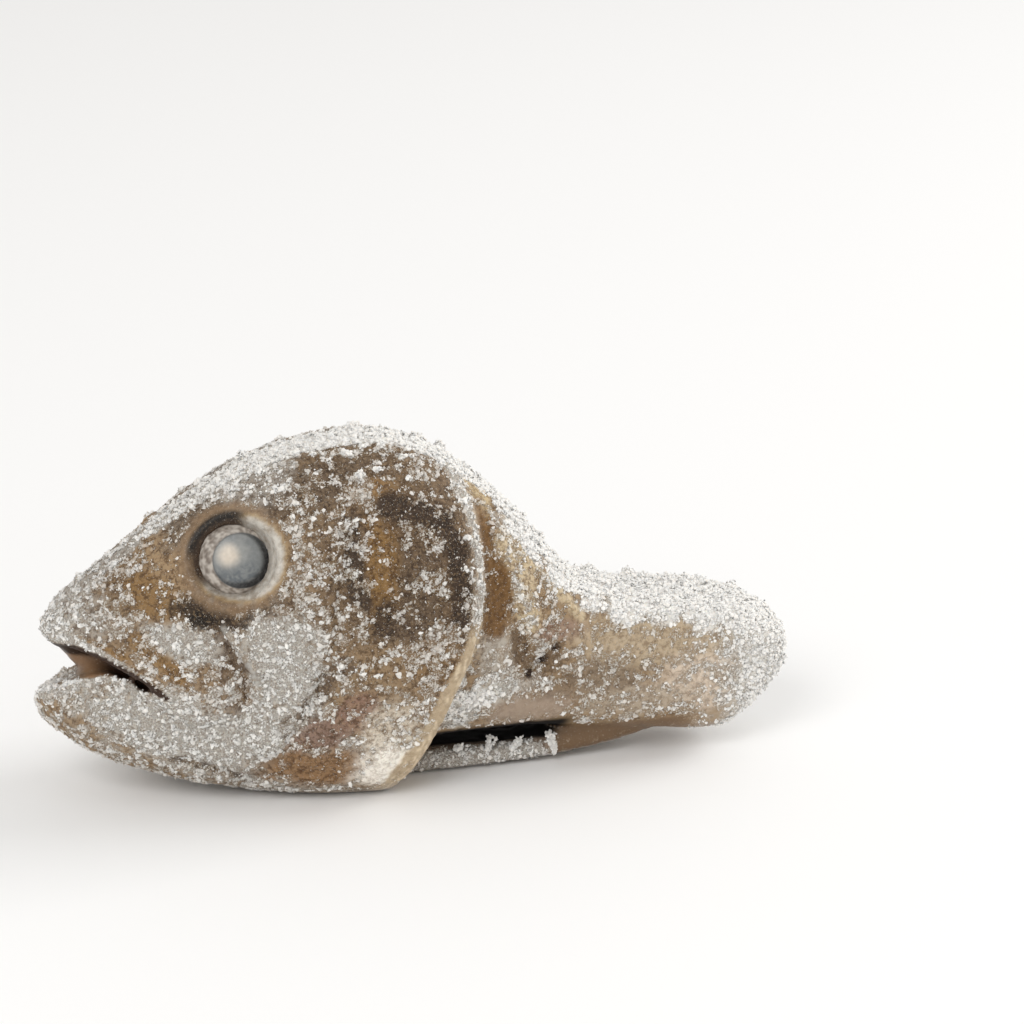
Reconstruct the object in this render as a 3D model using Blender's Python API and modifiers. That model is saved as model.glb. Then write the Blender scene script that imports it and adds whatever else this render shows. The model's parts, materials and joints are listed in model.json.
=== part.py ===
"""A frozen fish head, cut from the body with a length of trunk behind it, and crusted with frost.

The fish faces -X and stands on its throat, +Z up, with its left side towards -Y. Lengths are
written in millimetres along the fish: x runs back from the snout's tip, z up from the floor.
Three closed solids come out: the head with its trunk, and the two eyeballs in their sockets.
"""

import math
import random
from collections import namedtuple

import bmesh
import bpy
import numpy as np
from mathutils import Vector

MM = 0.001
FISH_LENGTH = 239.5
MIDDLE_X = FISH_LENGTH / 2

# How fine the solids are.
RING_POINTS = 72
RING_STEP = 2.5
VOXEL = 1.2
HEAD_TRIANGLES = 6600

# A cross-section: its place, the heights of back and belly, its half width and the height where
# it is widest, and how boxy it is above and below that height (2 is an ellipse, 4 a soft box).
Section = namedtuple("Section", "x back belly half_width widest boxy_above boxy_below")

HEAD_SECTIONS = (
    Section(0.0, 56.5, 29.5, 3.5, 43.0, 2.0, 2.0),
    Section(2.0, 58.5, 25.2, 8.0, 43.0, 2.2, 2.2),
    Section(6.0, 61.0, 21.5, 11.5, 43.0, 2.2, 2.2),
    Section(12.0, 66.5, 17.0, 15.0, 43.0, 2.2, 2.3),
    Section(22.0, 74.0, 11.5, 19.5, 44.0, 2.2, 2.4),
    Section(36.0, 84.8, 6.5, 25.0, 46.0, 2.3, 2.6),
    Section(56.0, 97.8, 1.5, 30.5, 48.0, 2.5, 2.9),
    Section(75.0, 107.0, -1.2, 34.0, 50.0, 2.4, 3.3),
    Section(95.0, 111.5, -2.2, 36.0, 52.0, 2.3, 3.6),
    Section(115.0, 110.0, -2.0, 36.0, 54.0, 2.2, 3.4),
    Section(128.0, 103.5, 1.0, 34.0, 55.0, 2.2, 2.8),
    Section(142.0, 93.0, 6.0, 29.0, 56.0, 2.2, 2.4),
)
TRUNK_SECTIONS = (
    Section(85.0, 107.5, 9.0, 27.0, 52.0, 2.2, 2.4),
    Section(105.0, 110.3, 9.0, 29.5, 54.0, 2.2, 2.4),
    Section(120.0, 107.0, 11.5, 29.5, 56.0, 2.2, 2.8),
    Section(132.0, 100.0, 13.4, 28.0, 56.0, 2.2, 3.3),
    Section(142.0, 92.3, 13.4, 26.0, 54.0, 2.3, 3.5),
    Section(152.0, 82.0, 13.4, 23.5, 48.0, 2.6, 3.5),
    Section(160.0, 71.5, 12.6, 21.5, 42.0, 3.0, 3.5),
    Section(168.0, 62.0, 12.0, 20.0, 36.0, 3.4, 3.4),
    Section(180.0, 56.2, 10.0, 19.2, 32.0, 3.8, 3.3),
    Section(195.0, 53.5, 8.3, 19.0, 30.0, 4.0, 3.4),
    Section(208.0, 52.0, 6.8, 19.0, 29.0, 4.0, 3.6),
    Section(217.0, 50.5, 7.0, 18.8, 29.0, 3.8, 3.6),
    Section(224.0, 48.0, 10.5, 18.0, 30.0, 3.4, 3.2),
    Section(231.0, 44.5, 17.5, 16.5, 31.5, 3.2, 3.0),
    Section(236.5, 41.0, 24.0, 14.0, 33.0, 2.8, 2.8),
    Section(239.5, 37.5, 29.5, 9.5, 33.5, 2.4, 2.4),
)
BELLY_STRIP_SECTIONS = (
    Section(100.0, 8.6, -1.0, 12.5, 4.0, 2.6, 2.6),
    Section(120.0, 8.8, -0.6, 13.2, 4.0, 3.2, 3.0),
    Section(140.0, 8.6, 0.0, 13.0, 4.2, 3.2, 3.0),
    Section(155.0, 8.8, 0.4, 12.0, 4.5, 3.0, 3.0),
    Section(168.0, 12.0, 1.2, 11.5, 6.0, 2.8, 2.8),
    Section(185.0, 16.0, 3.6, 11.0, 9.0, 2.6, 2.6),
    Section(202.0, 20.0, 7.6, 9.0, 14.0, 2.6, 2.6),
)

# Outlines and lines on the fish's side, as (x, z).
GILL_COVER_EDGE = (
    (127.0, 118.0), (131.0, 104.0), (135.0, 93.0), (136.5, 80.0), (136.5, 66.0),
    (133.5, 50.0), (126.0, 33.0), (117.5, 16.0), (109.0, 2.0), (104.0, -8.0),
)
UPPER_LIP = (
    (-4.0, 62.0), (0.0, 57.6), (2.5, 55.0), (6.0, 53.2), (13.0, 53.0), (20.0, 50.2),
    (26.5, 46.2), (34.6, 40.2), (39.0, 35.8),
)
LOWER_LIP = (
    (-4.0, 37.5), (0.0, 38.6), (7.0, 41.2), (13.0, 43.4), (18.0, 44.6), (22.0, 44.6),
    (26.5, 42.2), (30.5, 39.2), (35.0, 36.8), (38.5, 34.6),
)
# The mouth gapes unevenly: its slit falls by this much per millimetre to the fish's right, and is
# at the lips' own heights where y is this.
MOUTH_LEAN = 0.3
MOUTH_LEVEL_AT = -14.0
MAXILLA = (
    (4.0, 53.5), (9.0, 62.0), (31.0, 60.0), (46.0, 57.0), (56.5, 50.5), (60.5, 40.5),
    (55.0, 31.5), (45.0, 30.5), (38.5, 36.0), (28.0, 45.5), (18.0, 51.5),
)
CHEEK_CREASE = ((52.0, 62.0), (59.5, 53.0), (65.0, 41.0), (65.0, 32.0))
PREOPERCLE = (
    (106.0, 101.0), (97.0, 90.0), (91.5, 74.0), (89.0, 56.0), (82.5, 39.0), (71.0, 17.0),
    (60.0, 8.0),
)
JAW_SEAM = ((37.0, 34.5), (48.0, 26.0), (62.0, 19.0), (80.0, 12.5), (96.0, 9.0))
SHOULDER_RIDGE = ((133.0, 101.0), (140.0, 92.0), (145.0, 75.0), (151.0, 58.0), (157.0, 46.0))
TRUNK_SEAM = ((160.0, 36.0), (180.0, 33.0), (205.0, 30.0), (228.0, 29.0))
PECTORAL_SCAR = (155.5, 38.0)

# The eyes: the middle of the cornea on the left side, the way it looks, and its sizes.
EYE_AT = Vector((59.8, -25.6, 83.0))
EYE_LOOKS = Vector((-0.20, -0.89, 0.40)).normalized()
EYE_RADIUS = 11.8
EYE_DEPTH = 7.2
EYE_SUNK = 0.8
EYE_GAP = 0.35
ORBIT_RADIUS = 14.0
ORBIT_DEPTH = 8.5
ORBIT_DISH = 1.0

TONGUE_AT = (25.0, 0.0, 38.5)
TONGUE_RADII = (16.0, 11.5, 6.0)
TONGUE_PITCH = 24.0

FROST_LUMPS = 80
FROST_LUMP_SIZES = (1.3, 2.7)
FROST_SPACING = 4.6
FROST_FLOOR = 14.0
FROST_SEED = 7


def material(name, colour, roughness, metallic=0.0):
    """A plain shader in the piece's own colour."""
    made = bpy.data.materials.new(name)
    made.use_nodes = True
    shader = made.node_tree.nodes["Principled BSDF"]
    shader.inputs["Base Color"].default_value = (*colour, 1.0)
    shader.inputs["Roughness"].default_value = roughness
    shader.inputs["Metallic"].default_value = metallic
    return made


def place(x, y, z):
    """A point of the fish, in millimetres, as a point of the scene, with the origin mid-length."""
    return Vector(((x - MIDDLE_X) * MM, y * MM, z * MM))


def smooth_through(known_x, known_y, x):
    """The smooth curve through some points, each slope taken from the point's neighbours."""
    known_x, known_y = np.asarray(known_x, float), np.asarray(known_y, float)
    slopes = np.gradient(known_y, known_x)
    left = np.clip(np.searchsorted(known_x, x) - 1, 0, len(known_x) - 2)
    step = known_x[left + 1] - known_x[left]
    t = (x - known_x[left]) / step
    rise = t * t * (3 - 2 * t)
    return (
        known_y[left] * (1 - rise)
        + known_y[left + 1] * rise
        + step * t * (1 - t) * ((1 - t) * slopes[left] - t * slopes[left + 1])
    )


def smooth_line(points, step=1.5):
    """The same through points in a plane, with a new point every step."""
    points = np.asarray(points, float)
    along = np.concatenate([[0], np.cumsum(np.linalg.norm(np.diff(points, axis=0), axis=1))])
    at = np.linspace(0, along[-1], max(2, round(along[-1] / step)) + 1)
    return np.stack([smooth_through(along, points[:, i], at) for i in (0, 1)], axis=1)


def new_object(name, mesh):
    made = bpy.data.objects.new(name, mesh)
    bpy.context.scene.collection.objects.link(made)
    return made


def move_to(obj, collection):
    for holder in list(obj.users_collection):
        holder.objects.unlink(obj)
    collection.objects.link(obj)


def baked(obj):
    """Puts what the modifiers make into the object's own mesh, and drops the modifiers."""
    graph = bpy.context.evaluated_depsgraph_get()
    mesh = bpy.data.meshes.new_from_object(obj.evaluated_get(graph))
    obj.modifiers.clear()
    obj.data = mesh
    return obj


def loft(name, sections):
    """A closed skin over cross-sections that change along the fish."""
    columns = [np.array(column) for column in zip(*sections)]
    stations = np.linspace(
        columns[0][0], columns[0][-1], round((columns[0][-1] - columns[0][0]) / RING_STEP) + 1
    )
    stations = np.unique(np.concatenate([stations, columns[0]]))
    values = [smooth_through(columns[0], column, stations) for column in columns[1:]]
    back, belly, half_width, widest, boxy_above, boxy_below = values
    angles = np.linspace(0, 2 * math.pi, RING_POINTS, endpoint=False)
    side, rise = np.cos(angles), np.sin(angles)
    bm = bmesh.new()
    rings = []
    for i, x in enumerate(stations):
        above = rise > 0
        power = 2 / np.where(above, boxy_above[i], boxy_below[i])
        reach = np.where(above, back[i] - widest[i], widest[i] - belly[i])
        y = half_width[i] * np.sign(side) * np.abs(side) ** power
        z = widest[i] + reach * np.sign(rise) * np.abs(rise) ** power
        rings.append([bm.verts.new(place(x, *point)) for point in zip(y, z)])
    for ring, following in zip(rings, rings[1:]):
        for k in range(RING_POINTS):
            after = (k + 1) % RING_POINTS
            bm.faces.new((ring[k], ring[after], following[after], following[k]))
    bm.faces.new(list(reversed(rings[0])))
    bm.faces.new(rings[-1])
    bmesh.ops.recalc_face_normals(bm, faces=bm.faces)
    mesh = bpy.data.meshes.new(name)
    bm.to_mesh(mesh)
    bm.free()
    return new_object(name, mesh)


def slab(name, outline, half_thickness):
    """A flat outline on the fish's side, (x, z), carried right across the fish along Y."""
    curve = bpy.data.curves.new(name, "CURVE")
    curve.dimensions = "2D"
    curve.fill_mode = "BOTH"
    curve.extrude = half_thickness * MM
    spline = curve.splines.new("POLY")
    spline.points.add(len(outline) - 1)
    for point, (x, z) in zip(spline.points, outline):
        point.co = ((x - MIDDLE_X) * MM, z * MM, 0, 1)
    spline.use_cyclic_u = True
    drawn = new_object(name + "_outline", curve)
    drawn.rotation_euler.x = math.pi / 2
    bpy.context.view_layer.update()
    graph = bpy.context.evaluated_depsgraph_get()
    mesh = bpy.data.meshes.new_from_object(drawn.evaluated_get(graph))
    mesh.transform(drawn.matrix_world)
    bpy.data.objects.remove(drawn)
    bm = bmesh.new()
    bm.from_mesh(mesh)
    bmesh.ops.remove_doubles(bm, verts=bm.verts, dist=0.01 * MM)
    bmesh.ops.recalc_face_normals(bm, faces=bm.faces)
    bm.to_mesh(mesh)
    bm.free()
    return new_object(name, mesh)


def ellipsoid(name, centre, radii, looks=Vector((0, 0, 1)), segments=32, rings=16):
    """A ball with three radii, in millimetres, its own Z axis turned to look some way."""
    bpy.ops.mesh.primitive_uv_sphere_add(segments=segments, ring_count=rings, radius=1.0)
    ball = bpy.context.object
    ball.name = name
    ball.scale = Vector(radii) * MM
    ball.rotation_mode = "QUATERNION"
    ball.rotation_quaternion = looks.to_track_quat("Z", "Y")
    ball.location = place(*centre)
    bpy.context.view_layer.update()
    ball.data.transform(ball.matrix_world)
    ball.matrix_world.identity()
    return ball


def combine(obj, others, operation, solver="EXACT"):
    """Cuts the others from obj, or joins them to it, and removes them."""
    group = bpy.data.collections.new("group")
    bpy.context.scene.collection.children.link(group)
    for other in others:
        move_to(other, group)
    boolean = obj.modifiers.new(operation.lower(), "BOOLEAN")
    boolean.operation = operation
    boolean.operand_type = "COLLECTION"
    boolean.collection = group
    boolean.solver = solver
    baked(obj)
    for other in others:
        bpy.data.objects.remove(other)
    bpy.data.collections.remove(group)
    return obj


def eye_point(side, outwards):
    """A point on an eye's axis, outwards from the cornea, and the way that eye looks.
    Side -1 is the fish's left, 1 its right."""
    mirror = Vector((1, -side, 1))
    return (EYE_AT + EYE_LOOKS * outwards) * mirror, EYE_LOOKS * mirror


def eyeball(name, side, grown=0.0, segments=24, rings=12):
    centre, looks = eye_point(side, -EYE_SUNK - EYE_DEPTH)
    radii = (EYE_RADIUS + grown, EYE_RADIUS + grown, EYE_DEPTH + grown)
    return ellipsoid(name, centre, radii, looks, segments, rings)


def head_core():
    """The skull's own mass: its skin, ending at the gill covers' rear edge, its mouth slit open
    between the lips, and a shallow dish round each eye."""
    head = loft("skull", HEAD_SECTIONS)
    edge = smooth_line(GILL_COVER_EDGE)
    behind = [(180.0, -20.0), (180.0, 130.0)]
    rear = slab("rear_cut", [*edge, *behind], 60)
    gape = [*smooth_line(UPPER_LIP), *smooth_line(LOWER_LIP)[::-1]]
    mouth = slab("mouth_cut", gape, 60)
    for vertex in mouth.data.vertices:
        vertex.co.z -= MOUTH_LEAN * (vertex.co.y - MOUTH_LEVEL_AT * MM)
    dishes = []
    for side in (-1, 1):
        centre, looks = eye_point(side, ORBIT_DISH)
        dishes.append(ellipsoid("dish", centre, (ORBIT_RADIUS, ORBIT_RADIUS, ORBIT_DEPTH), looks))
    combine(head, [rear], "DIFFERENCE")
    return combine(head, [mouth, *dishes], "DIFFERENCE")


def tongue():
    pitch = math.radians(TONGUE_PITCH)
    looks = Vector((math.sin(pitch), 0, math.cos(pitch)))
    return ellipsoid("tongue", TONGUE_AT, TONGUE_RADII, looks)


def away_from_line(x, z, points):
    """How far each (x, z) is from a line on the fish's side."""
    line = smooth_line(points)
    nearest = np.full(len(x), 1e9)
    for (ax, az), (bx, bz) in zip(line, line[1:]):
        dx, dz = bx - ax, bz - az
        t = np.clip(((x - ax) * dx + (z - az) * dz) / (dx * dx + dz * dz), 0, 1)
        nearest = np.minimum(nearest, np.hypot(x - ax - t * dx, z - az - t * dz))
    return nearest


def inside_outline(x, z, outline):
    """How deep each (x, z) is inside an outline on the fish's side, negative outside it."""
    closed_outline = [*outline, outline[0]]
    depth = away_from_line(x, z, closed_outline)
    line = smooth_line(closed_outline)
    crossings = np.zeros(len(x), int)
    for (ax, az), (bx, bz) in zip(line, line[1:]):
        spans = (az > z) != (bz > z)
        rise = bz - az if bz != az else 1e-9
        crossings += spans & (x < ax + (z - az) / rise * (bx - ax))
    return np.where(crossings % 2 == 1, depth, -depth)


def ridge(x, z, points, width, height):
    """A rounded ridge, or a groove if the height is negative, along a line."""
    return height * np.exp(-((away_from_line(x, z, points) / width) ** 2))


def raised(x, z, outline, softness, height):
    """A plate that stands out by its height inside an outline."""
    t = np.clip(inside_outline(x, z, outline) / softness + 0.5, 0, 1)
    return height * t * t * (3 - 2 * t)


def bump(x, z, at, width, height):
    return height * np.exp(-(((x - at[0]) / width) ** 2 + ((z - at[1]) / width) ** 2))


def relief(x, z):
    """How far the skin stands out from the plain lofts at each (x, z), in millimetres."""
    edge = smooth_line(GILL_COVER_EDGE)
    order = np.argsort(edge[:, 1])
    edge_x = np.interp(z, edge[order, 1], edge[order, 0])
    on_head = (x < edge_x + 0.6).astype(float)
    on_trunk = 1 - on_head
    cheek = np.array([*PREOPERCLE, (20.0, 8.0), (20.0, 101.0)])
    around_eye = np.hypot(x - EYE_AT.x, z - EYE_AT.z)
    height = raised(x, z, cheek, 3.0, 1.3) * on_head
    height += ridge(x, z, PREOPERCLE, 2.2, -1.3) * on_head
    height += raised(x, z, MAXILLA, 2.0, 1.6)
    height += ridge(x, z, [*MAXILLA[2:8]], 1.6, -0.9)
    height += ridge(x, z, CHEEK_CREASE, 1.8, -1.2)
    height += ridge(x, z, JAW_SEAM, 1.8, -1.3) * on_head
    height += 1.1 * np.exp(-(((around_eye - ORBIT_RADIUS - 0.5) / 1.8) ** 2))
    height += bump(x, z, (42.0, 76.0), 9.0, -1.2)
    height += bump(x, z, (112.0, 70.0), 15.0, -1.4) * on_head
    height += ridge(x, z, [(96.0, 84.0), (112.0, 80.0), (132.0, 74.0)], 3.0, 0.9) * on_head
    height += ridge(x, z, [(92.0, 52.0), (108.0, 40.0), (118.0, 28.0)], 3.5, 0.9) * on_head
    height += ridge(x, z, SHOULDER_RIDGE, 2.6, 1.8) * on_trunk
    height += ridge(x, z, TRUNK_SEAM, 3.5, -1.2) * on_trunk
    height += bump(x, z, PECTORAL_SCAR, 3.2, -2.4) * on_trunk
    return height


def carve(obj):
    """Moves the skin sideways by the relief, which fades where the surface turns up or down."""
    mesh = obj.data
    count = len(mesh.vertices)
    points = np.empty(count * 3, np.float32)
    normals = np.empty(count * 3, np.float32)
    mesh.vertices.foreach_get("co", points)
    mesh.vertices.foreach_get("normal", normals)
    points, normals = points.reshape(-1, 3), normals.reshape(-1, 3)
    x = points[:, 0] / MM + MIDDLE_X
    z = points[:, 2] / MM
    faces_side = np.clip(np.abs(normals[:, 1]) * 1.6 - 0.25, 0, 1)
    outside_mouth = np.sign(points[:, 1]) * normals[:, 1] > 0
    height = relief(x.astype(float), z.astype(float)) * faces_side * outside_mouth * MM
    points += normals * height[:, None]
    points[:, 2] = np.maximum(points[:, 2], 0)
    mesh.vertices.foreach_set("co", points.astype(np.float32).ravel())
    mesh.update()


def knit(obj):
    """Melts the joined masses into one skin, as flesh is, and smooths the joins."""
    remesh = obj.modifiers.new("voxels", "REMESH")
    remesh.mode = "VOXEL"
    remesh.voxel_size = VOXEL * MM
    smooth = obj.modifiers.new("soften", "SMOOTH")
    smooth.factor = 0.5
    smooth.iterations = 4
    return baked(obj)


def thin_out(obj, triangles):
    """Fewer, larger faces where the skin is flat."""
    obj.data.calc_loop_triangles()
    decimate = obj.modifiers.new("thin", "DECIMATE")
    decimate.ratio = triangles / len(obj.data.loop_triangles)
    decimate.use_collapse_triangulate = True
    return baked(obj)


def drop_scraps(obj):
    """Keeps the largest connected shell of the mesh and drops loose scraps left by a join."""
    bm = bmesh.new()
    bm.from_mesh(obj.data)
    waiting, shells = set(bm.verts), []
    while waiting:
        shell, edge_of_shell = set(), [waiting.pop()]
        while edge_of_shell:
            vertex = edge_of_shell.pop()
            shell.add(vertex)
            fresh = {edge.other_vert(vertex) for edge in vertex.link_edges} & waiting
            waiting -= fresh
            edge_of_shell.extend(fresh)
        shells.append(shell)
    largest = max(shells, key=len)
    scraps = [vertex for shell in shells if shell is not largest for vertex in shell]
    bmesh.ops.delete(bm, geom=scraps, context="VERTS")
    bm.to_mesh(obj.data)
    bm.free()


def frost_places(obj):
    """Where the big lumps of frost sit: spread over what faces up, thickest along the back of
    the trunk and the nape, by a seeded draw that keeps them apart."""
    draw = random.Random(FROST_SEED)
    faces = [face for face in obj.data.polygons if face.normal.z > 0.15]
    weights = []
    for face in faces:
        x = face.center.x / MM + MIDDLE_X
        on_back = 1.0 if x > 125 or face.normal.z > 0.75 else 0.25
        weights.append(face.area * on_back * face.normal.z)
    found = []
    for face in draw.choices(faces, weights, k=60 * FROST_LUMPS):
        at, from_eye = face.center.copy(), 1e9
        for side in (-1, 1):
            from_eye = min(from_eye, (at - place(*eye_point(side, 0)[0])).length / MM)
        apart = all((at - other).length > FROST_SPACING * MM for other, _ in found)
        if apart and from_eye > EYE_RADIUS + 6 and at.z > FROST_FLOOR * MM:
            found.append((at, face.normal.copy()))
        if len(found) == FROST_LUMPS:
            break
    return found


def frost_lumps(obj):
    """Chunky grains, each a little squashed and turned its own way, half sunk in the skin."""
    draw = random.Random(FROST_SEED + 1)
    made = []
    for number, (at, normal) in enumerate(frost_places(obj)):
        bpy.ops.mesh.primitive_ico_sphere_add(subdivisions=1, radius=1.0)
        lump = bpy.context.object
        lump.name = f"lump_{number:03d}"
        size = draw.uniform(*FROST_LUMP_SIZES) * MM
        for vertex in lump.data.vertices:
            vertex.co *= draw.uniform(0.78, 1.15)
        lump.scale = [size * draw.uniform(0.8, 1.25) for _ in range(3)]
        lump.rotation_euler = [draw.uniform(0, math.tau) for _ in range(3)]
        lump.location = at + normal * size * 0.15
        bpy.context.view_layer.update()
        lump.data.transform(lump.matrix_world)
        lump.matrix_world.identity()
        made.append(lump)
    return made


def build_head(collection):
    head = head_core()
    others = [loft("trunk", TRUNK_SECTIONS), loft("belly_strip", BELLY_STRIP_SECTIONS), tongue()]
    combine(head, others, "UNION")
    knit(head)
    carve(head)
    thin_out(head, HEAD_TRIANGLES)
    sockets = [eyeball("socket", side, EYE_GAP) for side in (-1, 1)]
    combine(head, sockets, "DIFFERENCE")
    combine(head, frost_lumps(head), "UNION", "MANIFOLD")
    drop_scraps(head)
    head.name = "head"
    head.data.name = "head"
    head.data.materials.clear()
    head.data.materials.append(material("frosted_skin", (0.46, 0.38, 0.29), 0.6))
    move_to(head, collection)


def build_eye(collection, name, side):
    eye = eyeball(name, side)
    eye.data.shade_smooth()
    eye.data.materials.append(material(name + "_cornea", (0.42, 0.44, 0.45), 0.25))
    move_to(eye, collection)


def main():
    for obj in list(bpy.data.objects):
        bpy.data.objects.remove(obj)
    collection = bpy.data.collections.new("frozen_fish_head")
    bpy.context.scene.collection.children.link(collection)
    build_head(collection)
    build_eye(collection, "eye_left", -1)
    build_eye(collection, "eye_right", 1)


main()
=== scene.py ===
# %% [markdown]
# # A frozen fish head, crusted with frost
#
# The head comes from a round-bodied white fish and was cut off with a length of trunk behind it.
# Its skin is mottled brown, tan and pink, and nearly all of it is under frost: a film of rime,
# loose grains, flat flakes, and a thick bank of snow along the back. The solid model gives the
# form, to the tenth of a millimetre. This script adds what the eye reads as frozen fish: the skin
# with its creases and colours, the clouded eyes, and over a hundred thousand grains of frost.

import json
import math

import bpy
import numpy as np
from mathutils import Matrix, Vector, noise

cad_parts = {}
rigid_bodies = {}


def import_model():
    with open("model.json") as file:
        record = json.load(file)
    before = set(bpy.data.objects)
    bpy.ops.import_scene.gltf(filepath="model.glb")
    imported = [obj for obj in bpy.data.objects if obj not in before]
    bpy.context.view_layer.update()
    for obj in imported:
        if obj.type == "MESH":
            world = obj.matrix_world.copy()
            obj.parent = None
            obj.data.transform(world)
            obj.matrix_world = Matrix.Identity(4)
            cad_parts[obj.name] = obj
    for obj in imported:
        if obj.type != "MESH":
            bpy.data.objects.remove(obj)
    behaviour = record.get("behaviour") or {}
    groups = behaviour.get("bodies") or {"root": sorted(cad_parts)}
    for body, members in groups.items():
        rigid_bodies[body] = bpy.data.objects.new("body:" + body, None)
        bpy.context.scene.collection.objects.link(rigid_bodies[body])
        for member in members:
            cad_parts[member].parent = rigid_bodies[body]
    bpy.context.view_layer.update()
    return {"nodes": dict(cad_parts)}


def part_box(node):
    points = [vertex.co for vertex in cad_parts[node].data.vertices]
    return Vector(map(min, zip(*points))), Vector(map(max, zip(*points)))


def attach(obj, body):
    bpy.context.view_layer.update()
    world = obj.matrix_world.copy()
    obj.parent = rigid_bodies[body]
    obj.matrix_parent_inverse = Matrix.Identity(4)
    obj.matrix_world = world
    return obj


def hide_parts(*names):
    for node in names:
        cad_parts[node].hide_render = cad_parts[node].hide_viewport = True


for left_over in list(bpy.data.objects):
    bpy.data.objects.remove(left_over)

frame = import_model()

# %% [markdown]
# ## The fish's own ruler
#
# A shape on the side of a fish is easiest to place from its snout: so far back, so far up. So
# the tables below are in millimetres, with x from the snout's tip and z from the floor. Both
# sides of the fish are alike, and y only says how far a point is from the middle.

# %% Lengths, colours and smooth steps
MM = 0.001
SNOUT_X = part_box("head")[0].x


def fish_millimetres(points):
    """Points of the frame, in metres, as millimetres from the snout, the middle and the floor."""
    x, y, z = np.asarray(points, float).T / MM
    return x - SNOUT_X / MM, y, z


def linear(red, green, blue):
    """A colour as a paint program gives it, 0 to 255, in the linear values that shaders mix."""
    share = np.array((red, green, blue)) / 255
    return np.where(share < 0.04045, share / 12.92, ((share + 0.055) / 1.055) ** 2.4)


def ease(low, high, value):
    """0 below low, 1 above high, and a smooth slope between."""
    t = np.clip((value - low) / (high - low), 0, 1)
    return t * t * (3 - 2 * t)


def cloudy(points, size, seed):
    """Noise of about -1 to 1 at each point, with blotches about size millimetres across."""
    shift = Vector((7.3 * seed, 3.1 * seed, 5.7 * seed))
    scale = 1 / (size * MM)
    return np.array([noise.noise(Vector(p) * scale + shift) for p in points])


def away_from_line(x, z, line):
    """How many millimetres each (x, z) is from a line of straight runs."""
    nearest = np.full(len(x), 1e9)
    for (ax, az), (bx, bz) in zip(line, line[1:]):
        dx, dz = bx - ax, bz - az
        t = np.clip(((x - ax) * dx + (z - az) * dz) / (dx * dx + dz * dz), 0, 1)
        nearest = np.minimum(nearest, np.hypot(x - ax - t * dx, z - az - t * dz))
    return nearest


# %% [markdown]
# ## Mesh helpers
#
# Most steps are the same few moves that a person makes in Blender: pick one object, add a
# modifier, apply it. They are wrapped here so that the steps below read like a recipe.

# %% Pick, finish and count
def pick(obj):
    """Selects one object and nothing else, and makes it active."""
    bpy.ops.object.select_all(action="DESELECT")
    obj.select_set(True)
    bpy.context.view_layer.objects.active = obj
    return obj


def modify(obj, kind, **settings):
    """Adds a modifier, sets it and applies it."""
    pick(obj)
    bpy.ops.object.modifier_add(type=kind)
    modifier = obj.modifiers[-1]
    for name, value in settings.items():
        setattr(modifier, name, value)
    bpy.ops.object.modifier_apply(modifier=modifier.name)


def corners(obj, what="co"):
    """The mesh's points, or their normals, as rows of three numbers."""
    values = np.empty(len(obj.data.vertices) * 3, np.float32)
    obj.data.vertices.foreach_get(what, values)
    return values.reshape(-1, 3).astype(float)


def move_corners(obj, points):
    obj.data.vertices.foreach_set("co", points.astype(np.float32).ravel())
    obj.data.update()


def paint(obj, name, values):
    """Stores a number, or a colour, for each point of the mesh, for its material to read."""
    if values.ndim == 1:
        obj.data.attributes.new(name, "FLOAT", "POINT").data.foreach_set(
            "value", values.astype(np.float32)
        )
        return
    colours = np.concatenate([values, np.ones((len(values), 1))], axis=1)
    obj.data.color_attributes.new(name, "FLOAT_COLOR", "POINT").data.foreach_set(
        "color", colours.astype(np.float32).ravel()
    )


def report(obj):
    obj.data.calc_loop_triangles()
    print(f"{obj.name}: {len(obj.data.loop_triangles)} triangles")


# %% [markdown]
# ## The skin, rebuilt finer
#
# The solid's faces are 3 to 5 mm across, too coarse for wrinkles. A copy of it is rounded with
# Subdivision Surface and then remeshed into even squares under a millimetre wide. Even squares
# matter, because the relief and the colours are stored at the corners, and a stretched face
# would smear them.

# %% Copy, round and remesh the head
SKIN_VOXEL = 0.93


def rebuild_skin():
    skin = bpy.data.objects.new("head_skin", frame["nodes"]["head"].data.copy())
    bpy.context.scene.collection.objects.link(skin)
    pick(skin)
    bpy.ops.object.mode_set(mode="EDIT")
    bpy.ops.mesh.select_all(action="SELECT")
    bpy.ops.mesh.remove_doubles(threshold=0.001 * MM)
    bpy.ops.object.mode_set(mode="OBJECT")
    modify(skin, "SUBSURF", levels=1, render_levels=1)
    modify(skin, "REMESH", mode="VOXEL", voxel_size=SKIN_VOXEL * MM)
    modify(skin, "SMOOTH", factor=0.5, iterations=5)
    skin.data.materials.clear()
    return skin


head_skin = rebuild_skin()
report(head_skin)

# %% [markdown]
# ## Where things are on the side of the head
#
# The lines that matter: the rear edge of the gill cover, the bent bone before it, the lips, the
# crease of the cheek, the bands of flesh behind the gill, and the foot of the snow on the trunk.
# The slit of the mouth isn't level: it falls towards the fish's right.

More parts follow.
